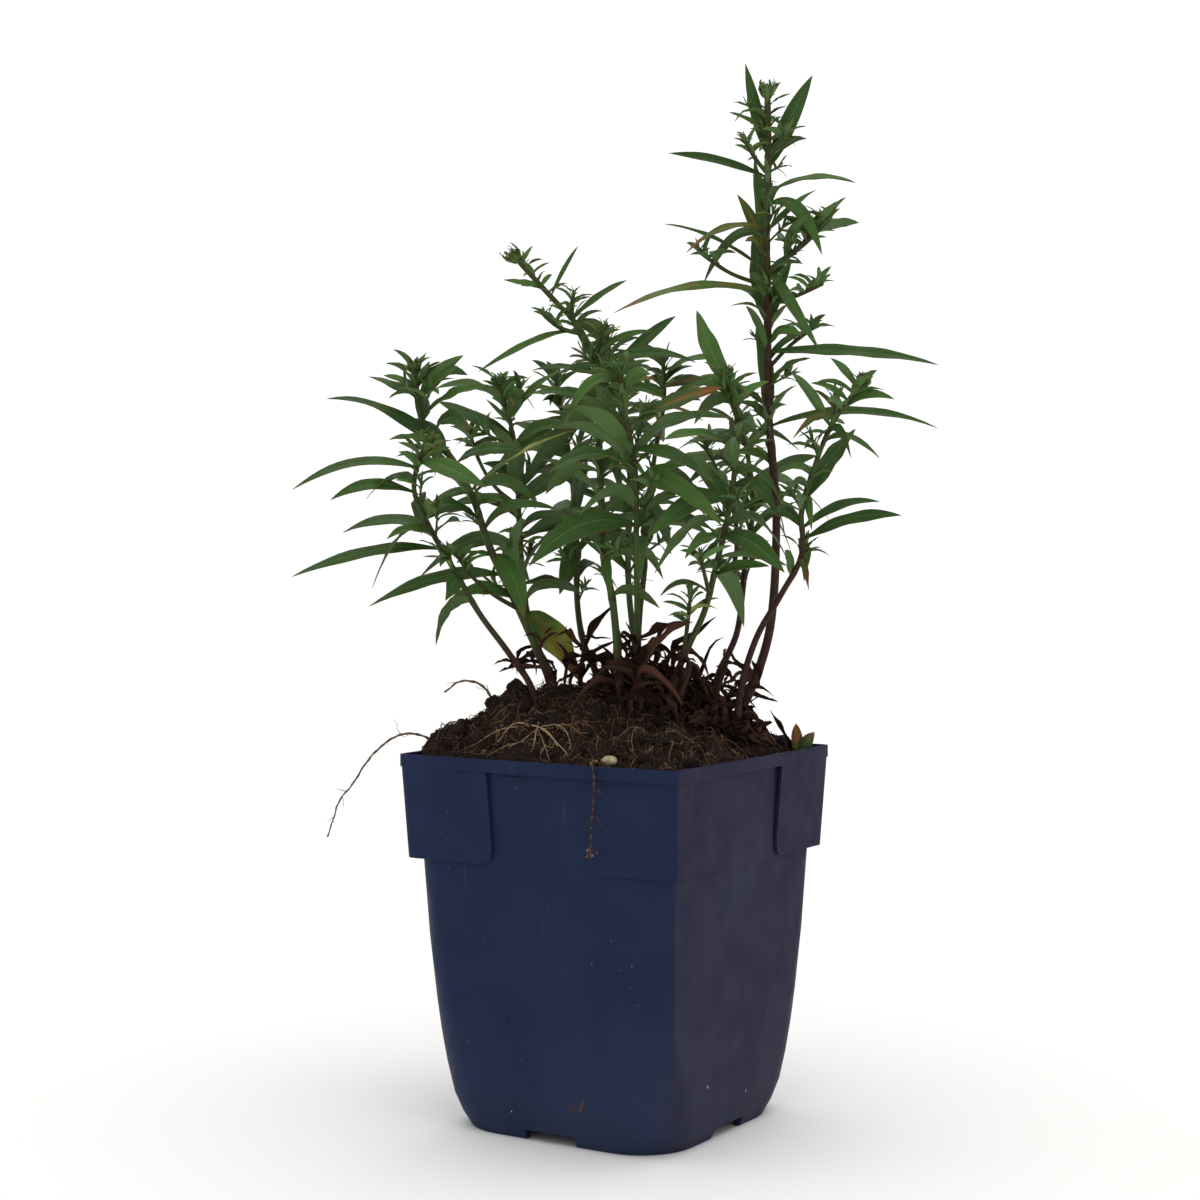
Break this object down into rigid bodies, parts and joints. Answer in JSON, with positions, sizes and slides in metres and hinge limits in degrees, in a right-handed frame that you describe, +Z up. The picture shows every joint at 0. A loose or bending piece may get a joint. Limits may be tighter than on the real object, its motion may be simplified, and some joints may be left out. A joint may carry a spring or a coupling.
{
  "type": "potted aster",
  "caption": "Leafy garden perennial with upright stems and narrow green leaves, growing from a heap of soil in a square blue nursery pot that tapers to a round-cornered foot.",
  "frame": {"origin": "middle of the pot's base, on the surface that the pot stands on", "axes": "+Z up along the stems; X and Y square to the pot's four sides, with the crisp near corner of the pot at +X, -Y"},
  "size_m": [0.1752, 0.2068, 0.3696],
  "materials": {
    "pot": "moulded dark blue plastic, lightly scuffed and dusty",
    "soil": "dry fibrous peat, crumbly and matt",
    "foliage": "living leaves and stems, dark green, satin, with yellow and brown touches",
    "dead_leaf": "dry curled leaves, dark brown and matt",
    "root": "fine bare roots, pale brown and matt",
    "stone": "small pale pebble, rough"
  },
  "bodies": {
    "root": {"pot": "pot", "soil": "soil", "stem_far_left": "foliage", "stem_left": "foliage", "stem_left_inner": "foliage", "stem_back_left": "foliage", "stem_crooked_top": "foliage", "stem_centre_front": "foliage", "stem_centre": "foliage", "stem_centre_back": "foliage", "stem_right_front": "foliage", "stem_forked_back": "foliage", "stem_tall": "foliage", "stem_far_right": "foliage", "dead_shoot_left": "dead_leaf", "dead_shoot_centre": "dead_leaf", "dead_shoot_middle": "dead_leaf", "dead_shoot_right": "dead_leaf", "hanging_root": "root", "wall_root": "root", "arched_root": "root", "spread_roots": "root", "pebble": "stone"}
  },
  "joints": []
}
